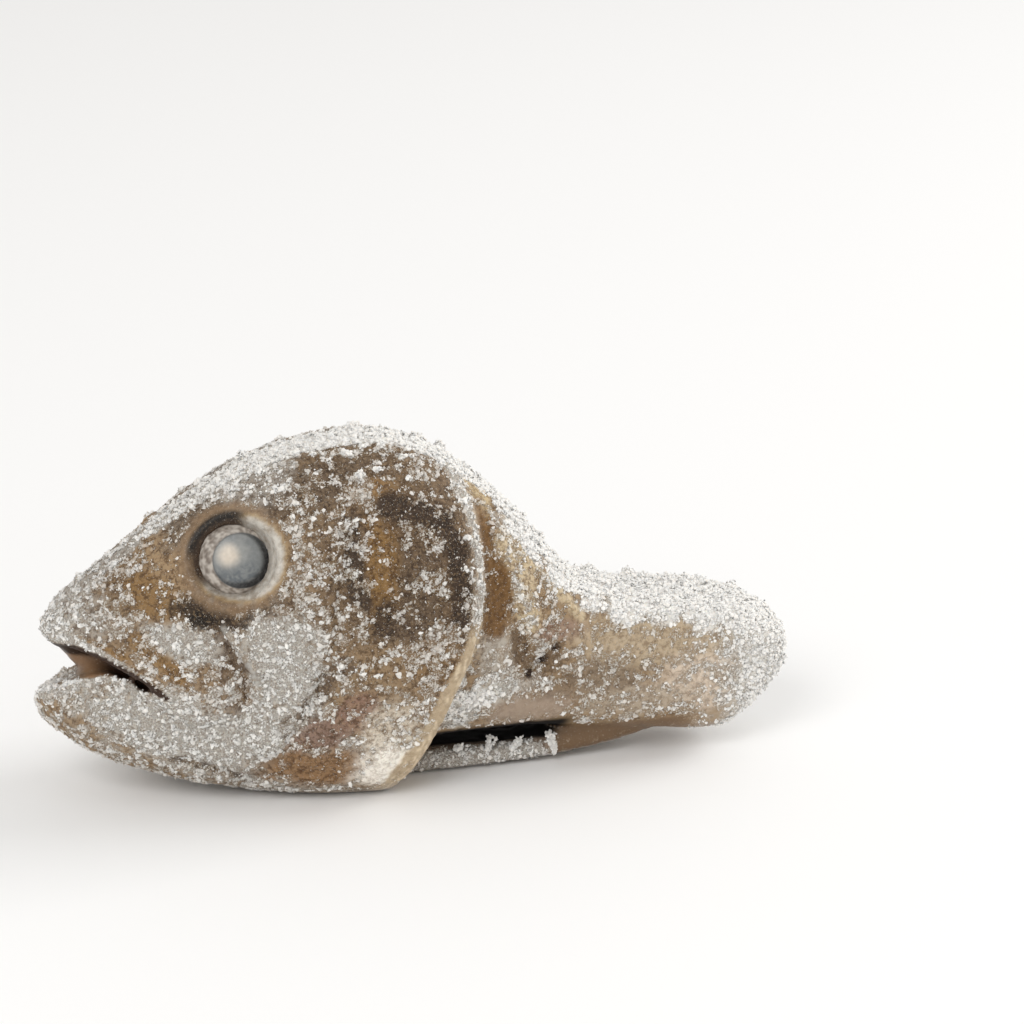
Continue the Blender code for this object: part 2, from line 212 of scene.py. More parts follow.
# %% Lines of the head, in millimetres
GILL_EDGE = [
    (127.0, 118.0), (131.0, 104.0), (135.0, 93.0), (136.5, 80.0), (136.5, 66.0), (133.5, 50.0),
    (126.0, 33.0), (117.5, 16.0), (109.0, 2.0), (104.0, -8.0),
]
PREOPERCLE = [
    (106.0, 101.0), (97.0, 90.0), (91.5, 74.0), (89.0, 56.0), (82.5, 39.0), (71.0, 17.0),
    (60.0, 8.0),
]
CHEEK_CREASE = [(56.0, 62.5), (60.5, 56.0), (64.5, 48.5), (65.3, 40.0)]
JAW_CRACK = [(41.0, 17.4), (48.0, 15.5), (61.0, 10.5)]
UPPER_LIP = [
    (-4.0, 62.0), (0.0, 57.6), (2.5, 55.0), (6.0, 53.2), (13.0, 53.0), (20.0, 50.2),
    (26.5, 46.2), (34.6, 40.2), (39.0, 35.8),
]
LOWER_LIP = [
    (38.5, 34.6), (35.0, 36.8), (30.5, 39.2), (26.5, 42.2), (22.0, 44.6), (18.0, 44.6),
    (13.0, 43.4), (7.0, 41.2), (0.0, 38.6), (-4.0, 37.5),
]
MOUTH_LEAN = 0.3
MOUTH_LEVEL_AT = -14.0
AMBER_BAND = [
    (131.0, 93.0), (135.5, 87.0), (139.5, 78.0), (141.8, 70.0), (141.5, 62.0), (139.8, 55.0),
]
CREAM_BAND = [(144.6, 80.0), (149.7, 73.0), (151.0, 65.0), (152.0, 54.0)]
CREAM_STREAK = [(112.0, 107.0), (119.0, 104.0), (126.0, 100.0), (131.5, 96.5), (137.5, 91.5)]
FAN_LINE = [(147.0, 80.0), (152.0, 72.6), (161.7, 62.1), (169.5, 52.0)]
PITS = [(161.3, 43.4), (156.7, 39.4), (152.5, 36.0)]
SNOW_LINE = [
    (146.0, 86.0), (153.0, 77.0), (164.0, 63.5), (177.0, 54.5), (192.0, 49.5), (208.0, 46.5),
    (222.0, 43.5), (236.0, 40.0),
]

# %% [markdown]
# ## The eye's own square
#
# Each eye looks sideways, a little up and a little forward. Its parts are placed on a square of
# its own that faces the same way, with one side backwards along the fish and one side up. The
# square's middle comes from the solid eyeball, so that the two can't drift apart.

# %% The eye's square, and what is inside or behind a line
EYE_LOOKS = Vector((-0.20, -0.89, 0.40)).normalized()
EYE_BACKWARDS = (Vector((1, 0, 0)) - EYE_LOOKS * EYE_LOOKS.x).normalized()
EYE_UP = EYE_LOOKS.cross(EYE_BACKWARDS)


def eye_square(points):
    """Where points lie round the nearer eye: millimetres backwards and up across its face, and
    outwards along its look, all from the eyeball's centre."""
    low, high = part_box("eye_left")
    centre = (low + high) / 2
    on_left = np.array(points)
    on_left[:, 1] = -np.abs(on_left[:, 1])
    away = (on_left - np.array(centre)) / MM
    return away @ np.array(EYE_BACKWARDS), away @ np.array(EYE_UP), away @ np.array(EYE_LOOKS)


def inside_outline(x, z, outline):
    """True where (x, z) is inside a closed outline."""
    crossings = np.zeros(len(x), int)
    for (ax, az), (bx, bz) in zip(outline, outline[1:] + outline[:1]):
        spans = (az > z) != (bz > z)
        rise = bz - az if bz != az else 1e-9
        crossings += spans & (x < ax + (z - az) / rise * (bx - ax))
    return crossings % 2 == 1


def behind_gill(x, z):
    """How far behind the gill cover's rear edge a point is, negative on the cover."""
    edge = np.array(GILL_EDGE[::-1])
    sign = np.where(x > np.interp(z, edge[:, 1], edge[:, 0]), 1, -1)
    return sign * away_from_line(x, z, GILL_EDGE)


# %% [markdown]
# ## Measures of the skin
#
# Relief, colour and frost all ask the same things of a point: how far it is from the gill's edge
# or the eye, which way it faces, and whether it is in the mouth or in the gap above the belly's
# strip. The answers are worked out once, for every point of the skin.

# %% Measure every point of the skin
class Side:
    """Every measure of the skin's points that the relief, the colours and the frost are made of."""

    def __init__(self, points, normals):
        self.points = points
        self.x, self.y, self.z = fish_millimetres(points)
        self.wide = np.abs(self.y)
        self.sideways = np.abs(normals[:, 1])
        self.upwards = normals[:, 2]
        self.behind = behind_gill(self.x, self.z)
        self.eye_back, self.eye_up, self.eye_out = eye_square(points)
        self.eye_ring = np.where(self.eye_out > -6, np.hypot(self.eye_back, self.eye_up), 99)
        self.find_mouth(normals[:, 1] * np.sign(self.y))
        self.find_gap_shade()

    def find_mouth(self, outwards):
        """How much each point is in the mouth, and how far the mouth's parts will move."""
        level = self.z + MOUTH_LEAN * (self.y - MOUTH_LEVEL_AT)
        gape = UPPER_LIP + LOWER_LIP
        in_gape = inside_outline(self.x, level, gape)
        self.to_lips = away_from_line(self.x, level, gape + gape[:1])
        lip_edge = ease(1.6, 0.4, self.to_lips) * ease(0.75, 0.45, outwards) * ease(3, 7, self.x)
        self.in_mouth = np.maximum(in_gape * 1.0, lip_edge) * (self.x < 40)
        self.in_mouth *= 1 - 0.95 * ease(17, 11, self.x) * ease(-0.1, 0.3, self.upwards)
        self.lip_lift = (0.7 * ease(24, 10, self.x) + 0.9 * ease(15, 9, self.x)) * (level > 48)
        self.lip_lift *= ease(60, 54, level)
        self.tongue = ease(3, 15, self.x) * ease(26, 17, self.x) * ease(44, 52, level)
        self.tongue *= ease(-8, 0, self.y) * ease(0.3, 0.6, self.in_mouth)
        self.blunt = ease(5, 0, self.x) * ease(59, 53, self.z) * ease(44, 48, self.z)

    def find_gap_shade(self):
        """How much each point is in the gap above the belly's strip, or on the lips of it: the
        belly's underside above and the strip's top below. All of it gets a near-black painted
        shade, which also makes the gap look taller.
        """
        gap_shade = ease(116, 122, self.x) * ease(166, 160, self.x) * ease(7.6, 8.6, self.z)
        gap_shade *= ease(15.5, 13.8, self.z) * ease(0.8, 0.5, self.sideways)
        along = ease(117, 122, self.x) * ease(170, 164, self.x)
        above = ease(9, 10, self.z) * ease(19, 16.5, self.z) * ease(-0.1, -0.4, self.upwards)
        below = ease(4.5, 6.0, self.z) * ease(15, 13, self.z) * ease(0.1, 0.4, self.upwards)
        below *= ease(9.6, 8.2, self.wide)
        self.gap_shade = np.maximum(gap_shade, along * np.maximum(above, below))

    def near_line(self, line, width):
        """1 on a line, fading to 0 a width away."""
        return np.exp(-((away_from_line(self.x, self.z, line) / width) ** 2))

    def near_spot(self, x, z, width, height, turned=0.0):
        """1 in the middle of a turned oval spot, fading to 0 beyond it."""
        dx, dz = self.x - x, self.z - z
        c, s = math.cos(math.radians(turned)), math.sin(math.radians(turned))
        return np.exp(-(((dx * c + dz * s) / width) ** 2 + ((dz * c - dx * s) / height) ** 2))


side = Side(corners(head_skin), corners(head_skin, "normal"))
print("skin points in the mouth:", int(side.in_mouth.sum()))
print("skin points in the belly's gap:", int(side.gap_shade.sum()))

# %% [markdown]
# ## Relief
#
# Skin over bone is never smooth. The relief moves each point along its normal: grooves along the
# bones of the gill cover, a fold in the cheek, ribs that fan over the cover, three pits where the
# fin was cut away, and a smooth bulge of belly behind the gill.

# %% The shape of the skin under the frost
def relief(s):
    """How far each point stands out from the solid, in millimetres."""
    on_cover = s.behind < 0.5
    on_trunk = ~on_cover
    height = -0.7 * s.near_line(PREOPERCLE, 1.3) * on_cover
    height += 0.5 * np.exp(-(((s.behind + 1.6) / 1.2) ** 2)) * (s.z > 55)
    height += 0.9 * s.near_line(CHEEK_CREASE, 1.5)
    height -= 1.1 * s.near_line([(x - 3.2, z) for x, z in CHEEK_CREASE], 1.2)
    height -= 0.6 * s.near_line([(x + 3.0, z) for x, z in CHEEK_CREASE], 1.2)
    height -= 0.9 * s.near_line(JAW_CRACK, 1.0)
    around = np.degrees(np.arctan2(s.z - 92, s.x - 94))
    ribs = np.cos(np.radians(around * 26)) * ease(6, 16, np.hypot(s.x - 94, s.z - 92))
    height += 0.22 * ribs * ease(88, 94, s.x) * ease(-1, -6, s.behind)
    bands = np.cos(away_from_line(s.x, s.z, GILL_EDGE) * 2.4)
    height += 0.3 * bands * on_trunk * ease(150, 138, s.x) * ease(50, 60, s.z)
    height += 0.9 * s.near_spot(142.5, 45, 5, 11) * on_trunk
    for x, z in PITS:
        height -= 2.0 * s.near_spot(x, z, 1.5, 1.4) * on_trunk
    height -= 1.1 * s.near_spot(148.5, 46, 2.2, 6) * on_trunk
    height += 0.8 * s.near_line(FAN_LINE, 1.0) * on_trunk
    height -= 0.8 * s.near_spot(50, 64.8, 4.5, 1.6, -25)
    height -= 0.7 * s.near_spot(42, 77, 8, 8)
    height -= 0.25 * ease(13.2, 11.4, s.eye_ring)
    muscle = np.cos((s.x - 0.55 * np.abs(s.z - 30)) * 2 * math.pi / 7.5)
    height -= 0.25 * ease(0.75, 1, muscle) * ease(166, 178, s.x)
    return height * np.clip(s.sideways * 1.5 - 0.1, 0, 1)


# %% [markdown]
# ## Crust
#
# Frost cakes in clumps, more of them where the colour table below says so, and first on whatever
# stands out: the solid's own lumps carry a cap of it. The skin is sunk by about as much as the
# grains will stand on it, so that the frost's outside, not the skin, meets the solid's surface.
# The mouth's front moves too: the upper lip rises a little, the snout's tip is blunted, and the
# flesh inside reaches forward on the far side.

# %% Push the skin in and out
SUNK_UNDER_FROST = 0.55
TONGUE_REACH = 7.0
TIP_BLUNTED = 2.4


def crusted(s, cover):
    """1 where frost has caked on the skin and 0 where it hasn't, in clumps of 1 to 4 mm that
    leave uncovered just the share that cover says."""
    clumps = 0.5 * cloudy(s.points, 3.0, 4) + 0.3 * cloudy(s.points, 1.5, 5)
    clumps += 0.3 * cloudy(s.points, 7.0, 6)
    clumps += 0.35 * cloudy(s.points, 5.0, 7) * (s.behind > 6)
    rank = np.empty(len(clumps))
    rank[np.argsort(clumps)] = np.linspace(0, 1, len(clumps))
    return ease(-0.09, 0.09, cover - rank)


def raised(obj):
    """How far each point stands out, in millimetres, from the same skin smoothed flat."""
    flat = bpy.data.objects.new("flat_skin", obj.data.copy())
    bpy.context.scene.collection.objects.link(flat)
    modify(flat, "SMOOTH", factor=0.5, iterations=50)
    stands = ((corners(obj) - corners(flat)) * corners(obj, "normal")).sum(axis=1) / MM
    bpy.data.objects.remove(flat)
    return stands


def press_relief(obj, s, crust, bank):
    """Moves the skin's points by the relief, the crust's lumps and the mouth's own moves."""
    normals = corners(obj, "normal")
    lumps = 0.26 * cloudy(s.points, 2.6, 1) + 0.20 * cloudy(s.points, 5.5, 2)
    lumps += 0.14 * cloudy(s.points, 1.5, 3)
    away_from_eye = ease(13.5, 17, s.eye_ring)
    height = relief(s)
    drifts = 0.75 * cloudy(s.points, 3.4, 8) * bank * ease(128, 146, s.x)
    height += (lumps * (0.15 + 0.6 * crust + 1.0 * bank) + drifts + 0.3 * crust) * away_from_eye
    snout = 1.2 * ease(9, 1, s.x) * ease(44, 50, s.z)
    height -= (SUNK_UNDER_FROST * np.maximum(crust, bank) + snout) * away_from_eye
    height -= 0.4 * bank * ease(128, 112, s.x)
    height *= ease(0.3, 3.0, s.z) * (0.25 + 0.75 * ease(0.8, 3.0, s.to_lips))
    moved = s.points + normals * height[:, None] * MM
    moved[:, 2] += s.lip_lift * MM
    moved[:, 0] += (TIP_BLUNTED * s.blunt - TONGUE_REACH * s.tongue) * MM
    move_corners(obj, moved)


# %% [markdown]
# ## Colours and cover
#
# Each patch of skin has a colour and a share of it that frost covers. The base is set by region,
# and the patches are laid over it in order, as a painter would. Every patch is an oval or a
# stretch of line, with soft edges that wander, because nothing on a fish ends in a clean curve.

# %% The colours, and where each goes
DARK = linear(58, 44, 34)
BROWN = linear(96, 76, 56)
SLATE = linear(98, 82, 66)
TAN = linear(156, 132, 102)
OCHRE = linear(138, 106, 62)
AMBER = linear(126, 90, 46)
CREAM = linear(208, 190, 158)
GREY = linear(170, 164, 156)
PALE = linear(200, 196, 188)
PINK = linear(176, 146, 130)
REDDISH = linear(144, 114, 98)
GULLET = linear(46, 26, 16)
BLACK = linear(16, 10, 7)

# Ovals: x, z, half width, half height, turn, colour, strength, share covered by frost.
SPOTS = [
    (66, 22, 40, 16, -14, GREY, 0.9, 0.84),
    (34, 30, 24, 12, -20, PALE, 0.8, 0.88),
    (72, 50, 13, 18, 0, PALE, 0.95, 0.94),
    (66, 26, 14, 9, 0, PALE, 0.8, 0.9),
    (79, 33, 7, 9, 0, PALE, 0.7, 0.88),
    (12, 62, 10, 9, 40, GREY, 0.7, 0.74),
    (4, 58, 7, 7, 0, PALE * 1.3, 0.95, 0.99),
    (19, 54.5, 8, 2.0, -16, OCHRE, 0.8, 0.36),
    (45, 58, 13, 6, -10, PALE, 0.85, 0.92),
    (58, 45, 5, 11, 10, BROWN, 0.75, 0.5),
    (50, 43, 8, 6, 0, TAN, 0.5, 0.7),
    (42, 79, 9, 10, 0, TAN * 1.12, 0.9, 0.14),
    (36, 70, 9, 6, -30, OCHRE, 0.8, 0.34),
    (50, 92, 12, 4.5, 40, linear(110, 99, 88), 0.8, 0.44),
    (66, 70, 16, 4, -10, BROWN, 0.6, 0.5),
    (52.5, 66.6, 10.5, 5.5, -8, DARK * 0.75, 0.95, 0.05),
    (50, 64.8, 5, 2.0, -25, BLACK, 0.95, 0.1),
    (78, 82, 7, 12, 0, TAN, 0.6, 0.66),
    (84, 102, 26, 5, 12, SLATE, 0.9, 0.42),
    (68, 101, 14, 5, 28, GREY, 0.7, 0.8),
    (104, 101, 8, 3, 0, OCHRE * 1.25, 0.8, 0.64),
    (112, 76, 20, 26, 0, BROWN, 0.9, 0.34),
    (104, 77, 5.5, 15, 0, OCHRE, 0.95, 0.14),
    (117, 72, 8, 13, 0, SLATE, 0.7, 0.36),
    (105, 62, 4, 7, 0, DARK, 0.9, 0.3),
    (118, 55, 12, 7, -20, SLATE, 0.6, 0.6),
    (104, 49, 14, 7, 0, TAN, 0.6, 0.38),
    (122, 48, 8, 9, 0, OCHRE, 0.45, 0.5),
    (96, 33, 7, 7, 0, REDDISH, 0.9, 0.22),
    (84, 26, 10, 6, 30, REDDISH * 0.85, 0.9, 0.2),
    (106, 26, 9, 10, 0, linear(218, 208, 192), 0.9, 0.34),
    (84, 14, 17, 7, 0, linear(144, 110, 74), 0.95, 0.0),
    (106, 12, 11, 9, 0, linear(255, 250, 240), 0.95, 0.16),
]
TRUNK_SPOTS = [
    (158, 60, 9, 12, -50, TAN, 0.9, 0.42),
    (163, 49, 9, 3.5, -8, PINK * 0.74, 0.8, 0.3),
    (141, 42, 6.0, 14, 12, PALE * 0.9, 0.75, 0.42),
    (148.5, 46, 3, 7, 0, BROWN, 0.85, 0.2),
    (139, 31, 9, 5, 0, PALE, 0.9, 0.96),
    (129, 26, 6, 6, 0, PALE * 1.15, 0.9, 1.0),
    (150, 32, 9, 3, 0, PALE, 0.7, 0.8),
    (156, 40, 8, 6, 0, BROWN, 0.7, 0.4),
    (153, 24, 15, 6.5, 0, linear(168, 150, 134), 0.85, 0.08),
    (160, 30, 9, 4, 0, SLATE, 0.4, 0.4),
    (178, 31, 11, 8, 0, linear(134, 118, 100), 0.8, 0.5),
    (194, 42, 26, 9, -8, linear(194, 176, 150), 0.9, 0.36),
    (210, 27, 15, 10, 0, linear(224, 208, 190), 0.9, 0.44),
    (188, 22, 18, 5, 0, linear(184, 170, 152), 0.8, 0.46),
]
# Lines: points, half width, colour, strength, share covered by frost.
BANDS = [
    ([(95, 92), (95.5, 84), (96, 77), (98, 68)], 3.2, DARK, 0.9, 0.5),
    ([(92, 49), (87, 46), (81, 36), (74, 29)], 3.2, BROWN, 0.9, 0.68),
    ([(107, 96), (117, 93.5), (124, 90)], 3.4, DARK, 0.95, 0.16),
    ([(125, 89), (128, 80), (129.5, 70), (129, 61)], 3.6, DARK, 0.95, 0.07),
    ([(30, 58), (36.5, 53), (42, 47)], 2.6, OCHRE, 0.8, 0.3),
    ([(3, 57), (13, 55), (20, 52.2), (27, 48), (35, 42), (41, 36)], 1.5, PALE, 0.9, 0.95),
    (JAW_CRACK, 1.6, DARK, 0.7, 0.4),
]
TRUNK_BANDS = [
    (CREAM_STREAK, 5.0, CREAM * (1, 0.96, 0.86), 0.9, 0.34),
    (AMBER_BAND, 4.4, AMBER * 0.8, 0.97, 0.1),
    (CREAM_BAND, 3.6, CREAM, 0.9, 0.46),
    (FAN_LINE, 1.5, CREAM, 0.9, 0.4),
]


# %% [markdown]
# ## Laying the patches
#
# The coat keeps the colour and the cover so far, and every patch is laid over what is there.
# An edge wanders because the patch's mask is shaken by noise before it is made soft.

# %% Lay patch over patch
FADES_OVER = 1.2


def lay_colour(colour, where, new_colour):
    """Lays a new colour over the colour so far, by each point's share."""
    colour += (new_colour - colour) * where[:, None]


class Coat:
    """The skin's colour and the share of it that frost covers, at every point."""

    def __init__(self, s):
        self.side = s
        self.colour = np.tile(TAN, (len(s.x), 1))
        self.cover = np.full(len(s.x), 0.55)
        self.wander = 0.35 * cloudy(s.points, 5.0, 11) + 0.35 * cloudy(s.points, 2.2, 12)
        self.on_cover = ease(0.8, -0.2, s.behind)
        self.on_trunk = 1 - self.on_cover

    def lay(self, where, colour, share):
        """Lays a patch over the colour and the cover so far."""
        lay_colour(self.colour, where, colour)
        self.cover += (share - self.cover) * where

    def lay_soft(self, mask, strength, region, colour, share):
        shaken = mask + self.wander * mask * 1.3 * (1.4 - mask)
        self.lay(ease(0.25, 0.75, shaken) * strength * region, colour, share)

    def lay_spots(self, spots, region):
        for x, z, width, height, turn, colour, strength, share in spots:
            oval = self.side.near_spot(x, z, width * FADES_OVER, height * FADES_OVER, turn)
            self.lay_soft(oval, strength, region, colour, share)

    def lay_bands(self, bands, region):
        for line, width, colour, strength, share in bands:
            stretch = self.side.near_line(line, width * FADES_OVER)
            self.lay_soft(stretch, strength, region, colour, share)


coat = Coat(side)
coat.lay(ease(40, 90, side.z + 0.2 * side.x) * coat.on_cover * 0.6, BROWN, 0.5)
coat.lay_spots(SPOTS, coat.on_cover)
coat.lay_bands(BANDS, coat.on_cover)
coat.lay_spots(TRUNK_SPOTS, coat.on_trunk)
coat.lay_bands(TRUNK_BANDS, coat.on_trunk)
print("patches laid:", sum(map(len, (SPOTS, BANDS, TRUNK_SPOTS, TRUNK_BANDS))))

# %% [markdown]
# ## Snow and the underside
#
# Snow lies along the ridge of the head, widens behind it, banks up on the trunk above its ragged
# foot, and wraps the trunk's cut end. The strip of belly below the gap is greyish, and the trunk
# tapers into it with hardly any frost.

# %% Lay the snow, the strip and the taper
def lay_snow(coat):
    """Lays what goes with the snow. Gives where the snow is, and where the trunk tapers."""
    s, wander, on_trunk = coat.side, coat.wander, coat.on_trunk
    foot = np.array(SNOW_LINE)
    ragged = 5 * cloudy(s.points, 8.0, 15) + 3.5 * cloudy(s.points, 3.5, 16)
    above_foot = s.z - np.interp(s.x, foot[:, 0], foot[:, 1]) + ragged
    snow = ease(-3.5, 2.0, above_foot) * ease(142, 152, s.x)
    ridge = ease(9, 5, s.wide + 5 * wander) * ease(0.2, 0.6, s.upwards) * ease(20, 120, s.x)
    reach = np.interp(s.x, (110, 132, 146), (3, 4, 7)) + 5 * wander
    ridge_behind = ease(reach + 2.5, reach - 2.5, s.wide) * ease(112, 128, s.x)
    ridge_behind *= ease(0.1, 0.4, s.upwards)
    snow = np.maximum(snow, np.maximum(ridge * 0.8, ridge_behind))
    end_rim = ease(210, 236, s.x + 8 * wander)
    strip = ease(12, 10, s.z) * ease(112, 118, s.x) * on_trunk
    taper = ease(158, 166, s.x) * ease(14, 10.5, s.z - (s.x - 166) * 0.1) * on_trunk
    coat.lay(strip, linear(146, 128, 112), 0.72)
    coat.lay(taper * ease(215, 200, s.x), BROWN * 1.5, 0.08)
    crest = ease(9, 4, s.wide + 4 * wander) * ease(0.2, 0.6, s.upwards) * coat.on_cover
    coat.lay(crest * 0.8, GREY, 0.85)
    coat.lay(end_rim * 0.9, PALE * 1.25, 0.95)
    snow = np.maximum(snow, 0.75 * ease(206, 240, s.x + 1.5 * ragged))
    by_gill = ease(0.25, 0.8, s.near_spot(134, 30.5, 9, 4.5, 25) + wander)
    snow = np.maximum(snow, 0.65 * by_gill * on_trunk)
    coat.lay(snow, PALE * 1.1, 1.0)
    return snow, taper


snow, taper = lay_snow(coat)
print("share of the skin under snow:", round(float(snow.mean()), 3))

# %% [markdown]
# ## Gill edge, pits and cheek
#
# The gill cover ends in a rim of frost above and a cream membrane with fine streaks below. The
# three pits on the trunk are dark, and the fold of the cheek has a pale crest and a brown foot.

# %% Lay the gill's edge, the pits and the cheek's fold
def lay_edges(coat):
    """Gives where the membrane and the cheek's crease are, because both are smooth."""
    s, wander = coat.side, coat.wander
    edge_frost = np.exp(-(((s.behind + 1.3) / 1.8) ** 2)) * ease(54, 60, s.z)
    coat.lay(edge_frost, linear(226, 212, 192), 1.0)
    inner = -np.interp(s.z, (10, 30, 55), (6.5, 5.5, 3.0)) + 2.0 * wander
    membrane = ease(inner - 1.0, inner + 0.6, s.behind) * ease(2.0, 1.0, s.behind)
    membrane *= ease(62, 52, s.z + 6 * wander)
    coat.lay(membrane, CREAM * (1.14, 1.16, 1.25), 0.2)
    plain = ease(0.25, 0.45, np.abs(cloudy(s.points * (1, 1, 0.35), 1.6, 14)))
    coat.lay(membrane * (1 - plain) * 0.55, TAN * 0.9, 0.15)
    coat.lay(ease(-0.6, -0.9, s.upwards) * ease(9, 5, s.z) * 0.8, GREY, 0.45)
    for x, z in PITS:
        pit = s.near_spot(x, z, 1.9, 1.8) * coat.on_trunk
        coat.lay(ease(0.3, 0.7, pit), GULLET, 0.0)
    crease = ease(0.3, 0.9, s.near_line(CHEEK_CREASE, 1.7) + 0.5 * wander)
    coat.lay(crease * 0.8, linear(174, 172, 167), 0.35)
    foot = s.near_line([(x - 3.4, z) for x, z in CHEEK_CREASE], 1.5)
    coat.lay(foot * 0.8, linear(100, 84, 70), 0.2)
    return membrane, crease


membrane, crease = lay_edges(coat)

# %% [markdown]
# ## Round the eye
#
# The socket's skin is bare. Behind and below the ball it is a thick pale ring. Above and in
# front it carries a near-black painted shadow where the brow overhangs the ball, a thin painted
# shade darkens the socket's inner wall all round, and brown skin fades out from both.

# %% Lay the eye's surround
PALE_RING_AT = -35
SHADOW_ARC_AT = 122


def lay_eye_surround(coat):
    """Gives where the skin round the eye is bare."""
    s, wander = coat.side, coat.wander
    bare = ease(19, 15.5, s.eye_ring + 2 * wander)
    coat.lay(bare * 0.9, linear(140, 116, 90), 0.06)
    coat.lay(ease(15.5, 12.5, s.eye_ring + 2 * wander) * 0.8, linear(104, 86, 68), 0.02)
    bearing = np.degrees(np.arctan2(s.eye_up, s.eye_back))
    pale_side = ease(130, 95, np.abs(bearing - PALE_RING_AT))
    outer = 12.4 + 4.0 * np.clip(np.cos(np.radians(bearing + 8)), 0, 1)
    ring = s.eye_ring + 1.6 * wander
    fading = ease(outer + 1.6, outer + 0.2, ring) * pale_side
    coat.lay(fading * 0.8, linear(176, 152, 116), 0.0)
    coat.lay(ease(outer + 0.3, outer - 1.0, ring) * pale_side, linear(206, 201, 192), 0.0)
    spots = ease(0.05, 0.4, cloudy(s.points, 2.0, 13)) * pale_side * ease(17, 14, s.eye_ring)
    coat.lay(spots * 0.6, linear(150, 138, 122), 0.0)
    # Painted shadow: near black on the skin above and in front of the ball, where the brow
    # overhangs the socket.
    shadow_side = ease(62, 36, np.abs(bearing - SHADOW_ARC_AT))
    coat.lay(ease(15.2, 13.6, s.eye_ring) * shadow_side, linear(24, 22, 22), 0.0)
    # Painted shade: a thin dark ring on the socket's inner wall next to the ball, weaker on the
    # pale side.
    coat.lay(ease(12.2, 11.4, s.eye_ring) * (1 - 0.6 * pale_side), DARK, 0.0)
    return bare


bare = lay_eye_surround(coat)

# %% [markdown]
# ## Mouth, gap and gloss
#
# The mouth is dark brown inside, tan on its floor and at the flesh that shows on the far side.
# The belly's gap and its lips get a near-black painted shade. Last comes where the skin is smooth
# and wet: no grains grow there. The gap gets -1, which is smooth to the grains but dull to the
# light.

# %% Lay the mouth and the gap's painted shade, and say what is smooth
def lay_openings(coat):
    s = coat.side
    coat.lay(s.in_mouth, GULLET, 0.02)
    mouth_floor = s.in_mouth * ease(0.1, 0.6, s.upwards) * ease(25, 15, s.x)
    coat.lay(mouth_floor * 0.9, linear(164, 128, 96), 0.02)
    front = s.in_mouth * ease(19, 16, s.x) * ease(2, 7, s.y)
    coat.lay(front * 0.9, linear(190, 164, 132), 0.05)
    # Painted shade: the gap and the belly's underside just above it are painted near black.
    coat.lay(s.gap_shade, linear(10, 5, 3), 0.0)


def smoothness(coat):
    s, on_trunk = coat.side, coat.on_trunk
    throat = s.near_spot(106, 12, 11, 9) * 0.7
    above_gap = s.near_spot(153, 24, 16, 7)
    bulge = s.near_spot(142.5, 45, 5.0, 10) * on_trunk * 0.6
    amber = s.near_line(AMBER_BAND, 4) * on_trunk * 0.4
    smooth = np.maximum.reduce([
        bare * 0.7, membrane * 0.75, throat, s.in_mouth, above_gap, bulge, taper, crease * 0.5,
        amber,
    ])
    glaze = 0.36 * on_trunk * ease(150, 172, s.x + 6 * coat.wander) * ease(12, 18, s.z)
    smooth = np.clip(np.maximum(smooth, glaze), 0, 1)
    return np.where(s.gap_shade > 0.3, -1.0, smooth)


lay_openings(coat)
tints, frost_share = coat.colour, coat.cover
smooth_skin = smoothness(coat)
stands_out = raised(head_skin) * (1 - np.abs(smooth_skin))
frost_share += 0.45 * ease(0.12, 0.6, stands_out) * (frost_share > 0.1)
caps = ease(0.25, 0.6, stands_out) * ease(0.5, 0.75, side.upwards) * ease(30, 45, side.z)
snow = np.maximum(snow, caps)
crust = crusted(side, frost_share)
press_relief(head_skin, side, crust, snow)
paint(head_skin, "tint", tints)
paint(head_skin, "crust", crust)
paint(head_skin, "snow", snow)
paint(head_skin, "share", frost_share)
paint(head_skin, "smooth", smooth_skin)
print("mean share of skin under frost:", round(float(frost_share.mean()), 3))

# %% [markdown]
# ## Materials are small machines
#
# A material is a tree of nodes. A few helpers keep the trees short to write: they add a node and
# plug its inputs, whether each is a number or another node's output, and mix colours.

# %% Node helpers
def start_material(name):
    made = bpy.data.materials.new(name)
    made.use_nodes = True
    return made, made.node_tree, made.node_tree.nodes["Principled BSDF"]


def plug(tree, socket, value):
    if isinstance(value, bpy.types.NodeSocket):
        tree.links.new(value, socket)
    else:
        socket.default_value = value


def plug_all(tree, node, **inputs):
    """Plugs a node's inputs by name, with n0 for its first, whatever that one is called."""
    for name, value in inputs.items():
        key = int(name[1:]) if name[0] == "n" and name[1:].isdigit() else name.replace("_", " ")
        plug(tree, node.inputs[key], value)


def add(tree, kind, settings=None, out=0, **inputs):
    """Adds a node, plugs its inputs and returns one of its outputs."""
    made = tree.nodes.new(kind)
    for name, value in (settings or {}).items():
        setattr(made, name, value)
    plug_all(tree, made, **inputs)
    return made.outputs[out]


def mix(tree, share, a, b, blend="MIX"):
    made = tree.nodes.new("ShaderNodeMix")
    made.data_type = "RGBA"
    made.blend_type = blend
    plug(tree, made.inputs[0], share)
    plug(tree, made.inputs[6], a)
    plug(tree, made.inputs[7], b)
    return made.outputs[2]


def maths(tree, how, a, b=0.0):
    return add(tree, "ShaderNodeMath", {"operation": how}, n0=a, n1=b)


def times(tree, a, b):
    return maths(tree, "MULTIPLY", a, b)


def slope(tree, value, low, high, to_low=0.0, to_high=1.0):
    """Carries a value's range low to high smoothly to another range."""
    return add(
        tree, "ShaderNodeMapRange", {"interpolation_type": "SMOOTHSTEP"},
        Value=value, From_Min=low, From_Max=high, To_Min=to_low, To_Max=to_high,
    )


